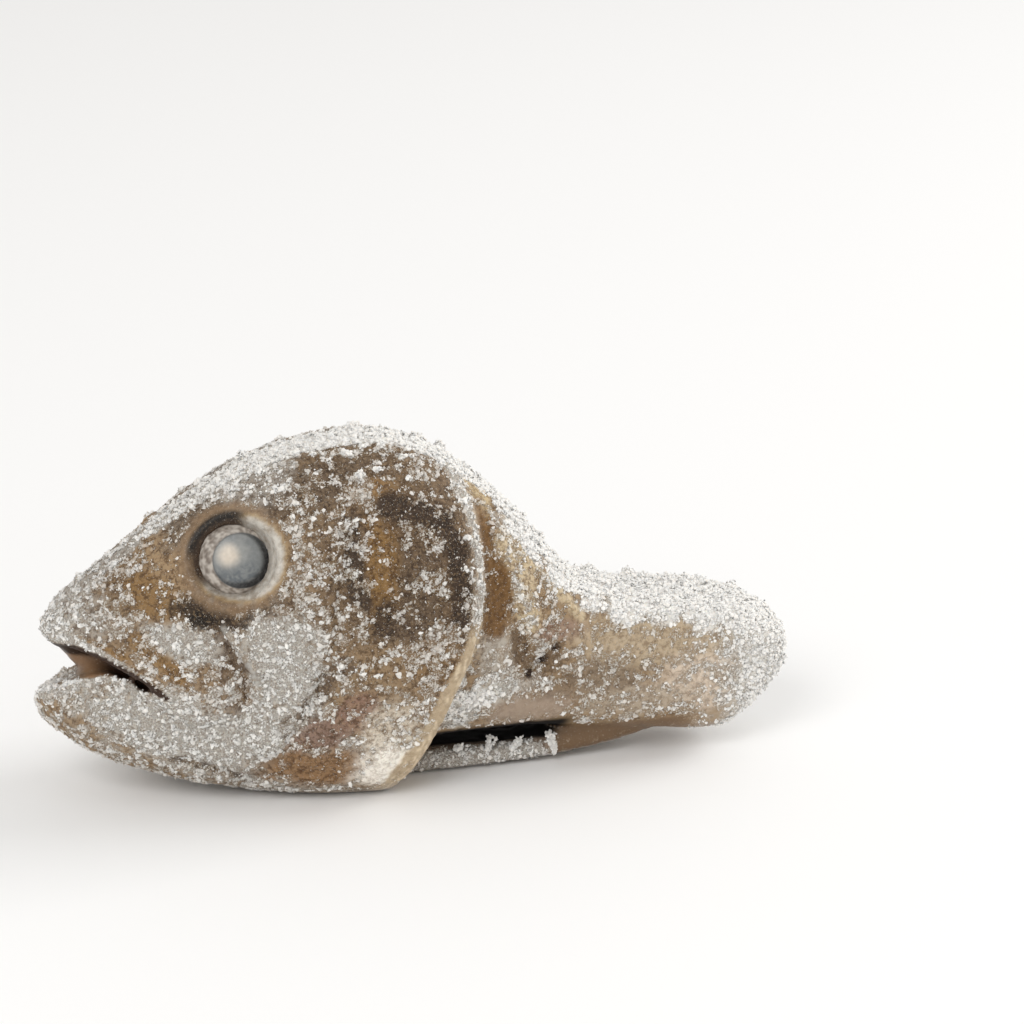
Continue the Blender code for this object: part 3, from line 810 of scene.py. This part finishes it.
def blotches(tree, size, detail=3.0, rough=0.6, distort=0.0):
    """Noise over the object with blotches about size millimetres across."""
    spot = add(tree, "ShaderNodeTexCoord", out=3)
    return add(
        tree, "ShaderNodeTexNoise", Vector=spot, Scale=1 / (size * MM), Detail=detail,
        Roughness=rough, Distortion=distort,
    )


def stored(tree, name, out=2):
    return add(tree, "ShaderNodeAttribute", {"attribute_name": name}, out=out)


def opaque(colour):
    return (*colour, 1.0)


# %% [markdown]
# ## The skin's finish
#
# Frost on skin starts as a film: thousands of crystals too small to model, grey where they are
# thin and white where they are thick. The shader decides, blotch by blotch, whether rime covers
# the skin, by comparing noise with the stored share. Skin that shows is mottled and a little
# wet, and light goes some way into it.

# %% Frosted skin
def bare_skin_colour(tree, tint, smooth):
    """The stored colour, mottled finer and coarser, and plain where the skin is smooth."""
    darker = mix(tree, 1.0, tint, opaque((0.34, 0.28, 0.23)), "MULTIPLY")
    lighter = mix(tree, 0.4, tint, opaque(linear(178, 150, 114)))
    coarse = slope(tree, blotches(tree, 1.7, 4.0, 0.7, 0.4), 0.38, 0.58)
    fine = slope(tree, blotches(tree, 0.9, 3.0, 0.7), 0.52, 0.66, 0.0, 0.8)
    skin = mix(tree, fine, mix(tree, coarse, darker, tint), lighter)
    return mix(tree, times(tree, smooth, 0.92), skin, tint)


def film_of_rime(tree, share, specks):
    """Warm where little of the skin is frosted, cool where most is, and darker where thin."""
    warm, cool = opaque(linear(178, 154, 124)), opaque(linear(210, 207, 202))
    thick = mix(tree, slope(tree, share, 0.3, 0.9), warm, cool)
    thin = mix(tree, 1.0, thick, opaque((0.46, 0.41, 0.36)), "MULTIPLY")
    return mix(tree, slope(tree, specks, 0.38, 0.62), thin, thick)


def frosted_skin():
    made, tree, shader = start_material("frosted_skin")
    tint, gloss = stored(tree, "tint", 0), stored(tree, "smooth")
    crust, bank, share = (stored(tree, name) for name in ("crust", "snow", "share"))
    smooth = maths(tree, "ABSOLUTE", gloss)
    rough_skin = slope(tree, smooth, 0, 1, 1.0, 0.3)
    specks = blotches(tree, 0.55, 3.0, 0.7)
    ragged = times(tree, maths(tree, "SUBTRACT", blotches(tree, 1.1, 3.0, 0.7), 0.5), 2.0)
    ragged = times(tree, ragged, rough_skin)
    caked = slope(tree, maths(tree, "ADD", crust, ragged), 0.2, 0.8)
    haze = times(tree, slope(tree, caked, 0, 1, 0.1, 1.0), slope(tree, share, 0, 1, 0.3, 0.9))
    skin = bare_skin_colour(tree, tint, smooth)
    skin = mix(tree, haze, skin, film_of_rime(tree, share, specks))
    dense = slope(tree, caked, 0, 1, 0.64, 0.54)
    dense = maths(tree, "SUBTRACT", dense, times(tree, bank, 0.3))
    speck = slope(tree, maths(tree, "SUBTRACT", specks, dense), -0.03, 0.05)
    speck = times(tree, speck, rough_skin)
    white = mix(tree, bank, opaque(linear(222, 216, 206)), opaque(linear(242, 239, 234)))
    frosted = maths(tree, "MAXIMUM", times(tree, speck, 0.85), times(tree, bank, 0.92))
    # In the gap the stored near-black painted shade shows as it is, with no rime over it.
    gap_shade = slope(tree, gloss, -1, -0.4, 1.0, 0.0)
    colour = mix(tree, gap_shade, mix(tree, frosted, skin, white), tint)
    dull = slope(tree, maths(tree, "SUBTRACT", caked, gloss), -0.8, 1, 0.42, 0.9)
    height = maths(tree, "ADD", times(tree, caked, 0.4), times(tree, speck, 0.4))
    height = times(tree, height, rough_skin)
    bump = add(tree, "ShaderNodeBump", Strength=0.9, Distance=0.55 * MM, Height=height)
    plug_all(
        tree, shader, Base_Color=colour, Roughness=dull, Specular_IOR_Level=0.25, Normal=bump,
        Subsurface_Weight=0.2, Subsurface_Radius=(1.0, 0.75, 0.55), Subsurface_Scale=0.9 * MM,
    )
    return made


head_skin.data.materials.append(frosted_skin())
pick(head_skin)
bpy.ops.object.shade_smooth()
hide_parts("head")

# %% [markdown]
# ## The clouded eyes
#
# A frozen eye is not a glass bead. Ice has clouded the cornea, the lens shows through as a grey
# disc with a black rim that is thickest behind and below, a cream blur sits off its middle, and
# a crescent of greyish pink white shows in front of it. The ball is a finely divided sphere at
# the solid eyeball's place. Its colours are set point by point in the eye's own square, so that
# they stay sharp from any side.

# %% Build both eyes
EYE_RADIUS = 12.7
EYE_DEPTH = 7.2
EYE_DEEPEST = 7.35
EYE_NOISE_RADIUS = 11.8
LENS_AT = (2.3, -0.8)
LENS_RADIUS = 8.6
RIM_HEAVIEST_AT = -35


def lay_iris(colour, across, up, mottle):
    lay_colour(colour, ease(0.4, 0.8, mottle) * 0.8, linear(198, 190, 180))
    lay_colour(colour, ease(0.5, 0.15, mottle) * 0.7, linear(98, 84, 72))
    from_middle = np.hypot(across, up)
    lay_colour(colour, ease(10.8, 12.0, from_middle) * 0.8, linear(62, 54, 48))


def lay_lens(colour, across, up, blur, fine):
    """Lays the lens, and gives where it is and where its rim is heavy."""
    lens_across, lens_up = across - LENS_AT[0], up - LENS_AT[1]
    from_lens = np.hypot(lens_across, lens_up * 1.02)
    around = np.degrees(np.arctan2(lens_up, lens_across))
    heavy = ease(140, 40, np.abs(around - RIM_HEAVIEST_AT))
    in_lens = ease(LENS_RADIUS + 0.2, LENS_RADIUS - 0.2, from_lens + 0.25 * (blur - 0.5))
    lay_colour(colour, in_lens, linear(122, 125, 125))
    lay_colour(colour, in_lens * ease(0.35, 0.75, blur) * 0.6, linear(152, 152, 148))
    lower = ease(0.5, -5.5, up + 3 * (blur - 0.5)) * ease(0.35, 0.65, 0.6 * fine + 0.5 * blur)
    lay_colour(colour, in_lens * lower * 0.85, linear(80, 87, 92))
    spot = np.hypot(across + 1.3, up - 0.9) + 1.6 * (blur - 0.5)
    lay_colour(colour, in_lens * ease(5.0, 1.6, spot) * 0.95, linear(208, 196, 180))
    inner, outer = LENS_RADIUS - 0.5 - 2.4 * heavy, LENS_RADIUS - 0.2 - 0.9 * heavy
    rim = in_lens * ease(inner, outer, from_lens + 0.4 * (fine - 0.5))
    lay_colour(colour, rim * (0.45 + 0.55 * heavy), linear(16, 16, 18))
    return in_lens, rim * heavy


def lay_ball_edge(colour, across, up, fine):
    """The ball's edge is in the socket's shadow above and in front, and pale below."""
    edge = np.hypot(across, up) + 0.8 * (fine - 0.5)
    bearing = np.degrees(np.arctan2(up, across))
    shadow = ease(10.5, 11.3, edge) * ease(62, 40, np.abs(bearing - 112))
    lay_colour(colour, shadow, linear(36, 34, 34))
    pale = ease(10.9, 11.5, edge) * ease(75, 50, np.abs(bearing + 50))
    lay_colour(colour, pale, linear(190, 184, 174))


def eyeball(name, node, mirror):
    low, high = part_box(node)
    turn = Matrix((EYE_BACKWARDS, EYE_UP, EYE_LOOKS)).transposed()
    bpy.ops.mesh.primitive_uv_sphere_add(segments=160, ring_count=120, radius=1)
    ball = bpy.context.object
    ball.name = name
    local = corners(ball)
    across, up, out = (local * (EYE_RADIUS, EYE_RADIUS, EYE_DEPTH)).T
    noise_at = local * EYE_NOISE_RADIUS * MM
    blur = 0.5 + 0.5 * cloudy(noise_at, 3.0, 21)
    fine = 0.5 + 0.5 * cloudy(noise_at, 0.9, 22)
    mottle = 0.5 + 0.5 * cloudy(noise_at, 2.0, 23) + 0.7 * (fine - 0.5)
    colour = np.tile(linear(146, 136, 126), (len(local), 1))
    lay_iris(colour, across, up, mottle)
    in_lens, heavy_rim = lay_lens(colour, across, up, blur, fine)
    lay_ball_edge(colour, across, up, fine)
    colour *= (0.86 + 0.28 * fine)[:, None]
    in_front = local[:, 2] > 0
    out = np.minimum(out - 0.25 * heavy_rim * in_front + 0.25 * in_lens * in_front, EYE_DEEPEST)
    placed = np.stack([across, up, out], 1) @ np.array(turn).T * MM
    placed[:, 1] *= mirror
    move_corners(ball, placed + np.array((low + high) / 2))
    if mirror < 0:
        ball.data.flip_normals()
    paint(ball, "tint", colour)
    bpy.ops.object.shade_smooth()
    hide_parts(node)
    report(ball)
    return ball


def clouded_eye():
    made, tree, shader = start_material("clouded_eye")
    tint = stored(tree, "tint", 0)
    haze = blotches(tree, 1.2, 4.0, 0.7)
    clouded = mix(tree, slope(tree, haze, 0.4, 0.7, 0.0, 0.08), tint, opaque(linear(205, 205, 205)))
    bump = add(tree, "ShaderNodeBump", Strength=0.25, Distance=0.2 * MM, Height=haze)
    plug_all(
        tree, shader, Base_Color=clouded, Roughness=0.45, Coat_Weight=0.12, Coat_Roughness=0.25,
        Normal=bump, Subsurface_Weight=0.1, Subsurface_Radius=(1.0, 0.9, 0.8),
        Subsurface_Scale=0.6 * MM,
    )
    return made


eye_finish = clouded_eye()
eyes = [eyeball("eye_ball_left", "eye_left", 1), eyeball("eye_ball_right", "eye_right", -1)]
for eye in eyes:
    eye.data.materials.append(eye_finish)

# %% [markdown]
# ## Crystals of frost
#
# Frost that casts a shadow has to be mesh. Four shapes are modelled and then pushed out
# of true, in ten versions each: a lump and a rounder snowball, from an icosphere of twenty
# faces, a stub, from a cone of four sides, and a splinter, from a cone of three. Few faces a
# crystal keep the whole light.

# %% Model the lump, the snowball, the stub and the splinter
VERSIONS = 10
ROUGH, ROUND = 0.32, 0.12


def out_of_true(version, offset=ROUGH):
    """Pushes the active shape's points about, and gives its points and its triangles."""
    bpy.ops.object.mode_set(mode="EDIT")
    bpy.ops.mesh.select_all(action="SELECT")
    bpy.ops.mesh.quads_convert_to_tris()
    bpy.ops.transform.vertex_random(offset=offset, uniform=0.35, normal=0.3, seed=version + 1)
    bpy.ops.object.mode_set(mode="OBJECT")
    shape = bpy.context.object
    points = corners(shape)
    points -= points.mean(axis=0)
    points /= np.linalg.norm(points, axis=1).mean()
    faces = np.array([tuple(face.vertices) for face in shape.data.polygons])
    bpy.data.objects.remove(shape)
    return points, faces


def lump(version):
    bpy.ops.mesh.primitive_ico_sphere_add(subdivisions=1, radius=1)
    return out_of_true(version)


def snowball(version):
    bpy.ops.mesh.primitive_ico_sphere_add(subdivisions=1, radius=1)
    return out_of_true(version, ROUND)


def stub(version):
    bpy.ops.mesh.primitive_cone_add(vertices=4, radius1=1, depth=1.2)
    return out_of_true(version)


def splinter(version):
    bpy.ops.mesh.primitive_cone_add(vertices=3, radius1=1, depth=1.2)
    return out_of_true(version)


LUMPS = [lump(version) for version in range(VERSIONS)]
SNOWBALLS = [snowball(version) for version in range(VERSIONS)]
STUBS = [stub(version) for version in range(VERSIONS)]
SPLINTERS = [splinter(version) for version in range(VERSIONS)]
for name, shapes in (("lump", LUMPS), ("stub", STUBS), ("splinter", SPLINTERS)):
    print("faces of a", name, ":", len(shapes[0][1]))

# %% [markdown]
# ## Places for the grains
#
# A rule picks tens of thousands of places on the skin: the likelier, the more crust there is.
# More are drawn than wanted, and those on the thickest of a fine noise are kept, so that the
# grains gather into a lace of clumps with clear skin between, as frost does.

# %% Pick places on the skin
class Surface:
    """The finished skin as triangles, ready for places to be drawn from it."""

    def __init__(self, obj):
        obj.data.calc_loop_triangles()
        flat = np.empty(len(obj.data.loop_triangles) * 3, np.int32)
        obj.data.loop_triangles.foreach_get("vertices", flat)
        self.triangles = flat.reshape(-1, 3)
        self.points = corners(obj)
        self.normals = corners(obj, "normal")
        a, b, c = (self.points[self.triangles[:, i]] for i in range(3))
        self.areas = np.linalg.norm(np.cross(b - a, c - a), axis=1) / 2

    def draw(self, weights, count, draw, lace):
        """Places drawn at random, as likely as each point's weight says: the three corners of
        each one's triangle and the share that each corner has in it. More are drawn than are
        wanted, lace times as many, and those on the thickest of a fine noise are kept."""
        chances = self.areas * weights[self.triangles].mean(axis=1)
        tries = round(count * lace)
        chosen = draw.choice(len(self.areas), tries, p=chances / chances.sum())
        of, share = self.triangles[chosen], draw.dirichlet((1, 1, 1), tries)
        spots = at_places(self.points, (of, share))
        thick = cloudy(spots, 1.7, 31) + 0.6 * cloudy(spots, 0.8, 32)
        kept = np.sort(np.argsort(thick)[-count:])
        return (of[kept], share[kept]), ease(-0.2, 0.7, thick[kept])


def at_places(values, places):
    """A value of the skin's points, blended at each place."""
    of, share = places
    return (values[of] * share[:, :, None]).sum(axis=1)


def turned(normals, draw, tilt):
    """A turn for each grain: its Z along the normal, tilted a little, and spun at random."""
    lean = normals + draw.normal(0, tilt, normals.shape)
    lean /= np.linalg.norm(lean, axis=1)[:, None]
    helper = np.cross(lean, draw.normal(0, 1, lean.shape))
    helper /= np.linalg.norm(helper, axis=1)[:, None]
    return np.stack([helper, np.cross(lean, helper), lean], axis=2)


def join_grains(name, shapes, centres, normals, turns, sizes, tint, own_facing, draw):
    """One mesh of all the grains of a kind. Sizes are half widths in metres, three a grain. The
    light is spread as in packed snow: each point faces the skin's way, and its own way too by
    as much as own_facing says."""
    count = len(centres)
    faces = shapes[0][1]
    grains = np.array([points for points, _ in shapes])[draw.integers(0, VERSIONS, count)]
    grains = np.einsum("nij,nkj->nki", turns, grains * sizes[:, None, :])
    facing = grains / np.linalg.norm(grains, axis=2)[:, :, None] * own_facing + normals[:, None, :]
    facing /= np.linalg.norm(facing, axis=2)[:, :, None]
    grains += centres[:, None, :]
    per = grains.shape[1]
    all_faces = faces[None] + (np.arange(count) * per)[:, None, None]
    mesh = bpy.data.meshes.new(name)
    mesh.vertices.add(count * per)
    mesh.vertices.foreach_set("co", grains.astype(np.float32).ravel())
    mesh.loops.add(count * len(faces) * 3)
    mesh.loops.foreach_set("vertex_index", all_faces.astype(np.int32).ravel())
    mesh.polygons.add(count * len(faces))
    starts = np.arange(0, count * len(faces) * 3, 3, dtype=np.int32)
    mesh.polygons.foreach_set("loop_start", starts)
    mesh.update(calc_edges=True)
    mesh.validate()
    mesh.shade_smooth()
    mesh.normals_split_custom_set_from_vertices(facing.reshape(-1, 3))
    obj = bpy.data.objects.new(name, mesh)
    bpy.context.scene.collection.objects.link(obj)
    paint(obj, "tint", np.repeat(tint, per, axis=0))
    report(obj)
    return obj


surface = Surface(head_skin)
print("places are drawn from", len(surface.areas), "triangles")

# %% [markdown]
# ## Growing the frost
#
# Snow is round balls with powder between them, and crust is flat lumps, stubby rime and dust of
# splinters. A grain takes some of the colour of what it sits on, warm on nearly bare skin and
# cool in thick frost, and the rest is white. Grains in thick frost are heaped.

# %% Grow one kind of frost
SNOW_WHITE = linear(245, 242, 237)
WARM_FILM = linear(176, 152, 122)
COOL_FILM = linear(200, 198, 195)


def grow(
    name, shapes, count, weights, seed, *, size, spread, longest, flat, piled, white, lace, facing
):
    """size is the grain's usual width in millimetres, spread how uneven, longest its greatest
    length as a share of that, flat its height as a share, piled how far above the skin it may
    sit where the crust is thick, white how little of the skin's colour it has, lace how
    strongly the grains keep to clumps, and facing how much its own faces catch the light rather
    than the skin's."""
    draw = np.random.default_rng(seed)
    places, heaped = surface.draw(weights, count, draw, lace)
    normals = at_places(surface.normals, places)
    normals /= np.linalg.norm(normals, axis=1)[:, None]
    width = size / 2 * MM * np.exp(np.clip(draw.normal(0, spread, count), -2 * spread, 2 * spread))
    sizes = width[:, None] * np.stack([
        draw.uniform(0.8, longest, count),
        draw.uniform(0.6, 1.1, count),
        draw.uniform(0.8, 1.2, count) * flat,
    ], axis=1)
    thick = at_places(np.stack([frost_share, snow, crust], axis=1), places)
    heap = draw.uniform(0, piled, count) * heaped * MM * (thick @ (0.5, 0.7, 0.4))
    height = sizes[:, 2] * 0.2 + heap
    centres = at_places(surface.points, places) + normals * height[:, None]
    glow = at_places(brightness[:, None], places)[:, 0]
    share = draw.normal(white, 0.15, count) + glow + thick @ (0.3, 0.4, 0) + 0.25 * (heaped - 0.5)
    share = np.clip(share, 0.08, 1)
    film = WARM_FILM + (COOL_FILM - WARM_FILM) * ease(0.3, 0.9, thick[:, 0])[:, None]
    below = at_places(tints, places) * 0.7 + 0.3 * film
    tint = below + (SNOW_WHITE - below) * share[:, None]
    turns = turned(normals, draw, 0.4)
    return join_grains(name, shapes, centres, normals, turns, sizes, tint, facing, draw)


# %% [markdown]
# ## Five kinds of frost
#
# Where the grains may grow: not in the mouth, the gap or the eye's socket, and not low enough
# to touch the floor. Glossy skin gets few, and skin that the film already covers gets fewer.

# %% Grow each kind of frost
FLOOR_CLEAR = 1.3
standing = ease(FLOOR_CLEAR, FLOOR_CLEAR + 1.5, side.z) * ease(15, 17.5, side.eye_ring)
open_skin = standing * (1 - side.in_mouth) * (1 - side.gap_shade)
dry_skin = (1 - 0.95 * np.abs(smooth_skin)) ** 1.4
brightness = 0.35 * cloudy(side.points, 3.5, 34) + 0.2 * cloudy(side.points, 9.0, 35)
packed = crust**1.5 * (1 - 0.45 * ease(0.7, 0.92, frost_share) * (1 - snow))
from_lips = 0.8 + 0.2 * ease(1.0, 3.0, side.to_lips)
on_snow = open_skin * snow
on_crust = open_skin * dry_skin * from_lips * (0.01 + packed)
on_skin = open_skin * dry_skin * from_lips * (0.02 + packed)
frosts = [
    grow(
        "frost_snow", SNOWBALLS, 9900, on_snow, 41,
        size=1.0, spread=0.3, longest=1.2, flat=0.9, piled=0.9, white=0.9, lace=1.6, facing=0.6,
    ),
    grow(
        "frost_powder", STUBS, 26000, on_snow, 42,
        size=0.6, spread=0.3, longest=1.2, flat=1.0, piled=1.1, white=0.9, lace=1.3, facing=0.5,
    ),
    grow(
        "frost_lumps", LUMPS, 9900, on_crust, 43,
        size=0.85, spread=0.35, longest=1.7, flat=0.6, piled=0.5, white=0.5, lace=2.6, facing=0.7,
    ),
    grow(
        "frost_rime", STUBS, 33000, on_skin, 44,
        size=0.6, spread=0.35, longest=1.7, flat=0.9, piled=0.7, white=0.45, lace=2.6, facing=0.7,
    ),
    grow(
        "frost_dust", SPLINTERS, 49000, on_skin, 45,
        size=0.45, spread=0.35, longest=1.7, flat=0.9, piled=0.6, white=0.45, lace=2.4, facing=0.7,
    ),
]

# %% [markdown]
# ## Clumps that hang
#
# Where melt water ran off the belly's strip and froze again, grains hang in small clumps. Each is
# drawn along a short line, wide above and narrow below, against the strip's outer side. The
# rearmost hangs longest, and the others are only knots of flakes along the strip's upper edge.

# %% Hang the clumps
# Each clump: x and z of its top, x and z of its tip, how many grains.
CLUMPS = [
    ((161.0, 10.6), (163.0, 3.2), 150),
    ((151.8, 9.0), (148.6, 6.2), 100),
    ((141.6, 10.2), (140.8, 6.8), 46),
    ((132.6, 9.4), (130.0, 7.8), 36),
]
STRIP_TOP = 7.0


def strip_side(x, z):
    """The y of the strip's outer side near a place, on the fish's left."""
    near = (np.abs(side.x - x) < 1.5) & (np.abs(side.z - z) < 1.2) & (side.y < 0)
    return side.y[near].min()


def hanging_clumps(seed=46):
    draw = np.random.default_rng(seed)
    places = []
    for (top_x, top_z), (tip_x, tip_z), count in CLUMPS:
        along = draw.uniform(0, 1, count)
        across = (1.4 - 0.9 * along)[:, None] * draw.normal(0, 0.55, (count, 3))
        y = strip_side((top_x + tip_x) / 2, min(top_z + tip_z, 2 * STRIP_TOP) / 2) - 0.2
        x, z = top_x + (tip_x - top_x) * along, top_z + (tip_z - top_z) * along
        places.append(np.stack([x, np.full(count, y), z], 1) + across)
        print("a clump of", count, "grains hangs at x", top_x, "y", round(float(y), 1))
    centres = np.concatenate(places) * MM + (SNOUT_X, 0, 0)
    count = len(centres)
    normals = np.tile((0.0, -0.9, 0.44), (count, 1))
    sizes = draw.uniform(0.3, 0.8, (count, 3)) * MM
    tint = np.tile(SNOW_WHITE, (count, 1)) * draw.uniform(0.7, 1, (count, 1))
    turns = turned(normals, draw, 0.5)
    return join_grains("frost_icicle", LUMPS, centres, normals, turns, sizes, tint, 0.8, draw)


frosts.append(hanging_clumps())

# %% [markdown]
# ## What frost looks like
#
# Each crystal is a bit of clouded ice: nearly white where it is thick, and with the skin's own
# brown or pink in it where it is thin. That colour is stored with the crystal.

# %% Frost's finish
def rime_ice():
    made, tree, shader = start_material("rime_ice")
    plug_all(
        tree, shader, Base_Color=stored(tree, "tint", 0), Roughness=0.7, Specular_IOR_Level=0.25,
        Subsurface_Weight=0.6, Subsurface_Radius=(1.0, 0.95, 0.9), Subsurface_Scale=0.25 * MM,
    )
    return made


ice = rime_ice()
for frost in frosts:
    frost.data.materials.append(ice)

# %% [markdown]
# ## Floor, light and camera
#
# The head stands on a plain pale floor in soft studio light: a wide lamp above and to the left
# does most of the work, and a bright surround fills the shadows. The camera looks from the
# fish's left, a little ahead of it and 20 degrees down.

# %% Stage
bpy.ops.mesh.primitive_plane_add(size=6, location=(0, 0, 0))
floor = bpy.context.object
floor.name = "floor"
floor_finish, floor_tree, floor_shader = start_material("pale_floor")
plug_all(floor_tree, floor_shader, Base_Color=(0.94, 0.94, 0.94, 1), Roughness=0.7)
floor.data.materials.append(floor_finish)

world = bpy.data.worlds.new("surround")
bpy.context.scene.world = world
world.use_nodes = True
surround = world.node_tree.nodes["Background"]
plug_all(world.node_tree, surround, Color=(1, 0.985, 0.96, 1), Strength=0.68)

LAMPS_AIM_AT = Vector((0, 0, 0.05))


def lamp(name, at, size, watts):
    bpy.ops.object.light_add(type="AREA", location=at)
    made = bpy.context.object
    made.name = name
    made.data.size = size
    made.data.energy = watts
    made.rotation_mode = "QUATERNION"
    made.rotation_quaternion = (LAMPS_AIM_AT - Vector(at)).to_track_quat("-Z", "Y")


lamp("key_light", (-1.2, -1.7, 1.9), 1.3, 26)
lamp("side_light", (2.2, 0.3, 1.3), 1.2, 27)

CAMERA_AZIMUTH = math.radians(-12)
CAMERA_ELEVATION = math.radians(20)
CAMERA_DISTANCE = 1.1
PICTURE_WIDTH = 0.32
SENSOR_WIDTH = 36
LOOKED_AT = Vector((0.0309, -0.0036, 0.0831))
towards_camera = Vector((
    math.sin(CAMERA_AZIMUTH) * math.cos(CAMERA_ELEVATION),
    -math.cos(CAMERA_AZIMUTH) * math.cos(CAMERA_ELEVATION),
    math.sin(CAMERA_ELEVATION),
))
bpy.ops.object.camera_add(location=LOOKED_AT + towards_camera * CAMERA_DISTANCE)
camera = bpy.context.object
camera.rotation_mode = "QUATERNION"
camera.rotation_quaternion = (-towards_camera).to_track_quat("-Z", "Y")
camera.data.sensor_width = SENSOR_WIDTH
camera.data.lens = SENSOR_WIDTH * CAMERA_DISTANCE / PICTURE_WIDTH
bpy.context.scene.camera = camera
bpy.context.scene.view_settings.view_transform = "Standard"

# %% [markdown]
# ## Finish
#
# Every piece rides on the one rigid body.

# %% Ride on the one rigid body
for piece in [head_skin, *eyes, *frosts]:
    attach(piece, "root")
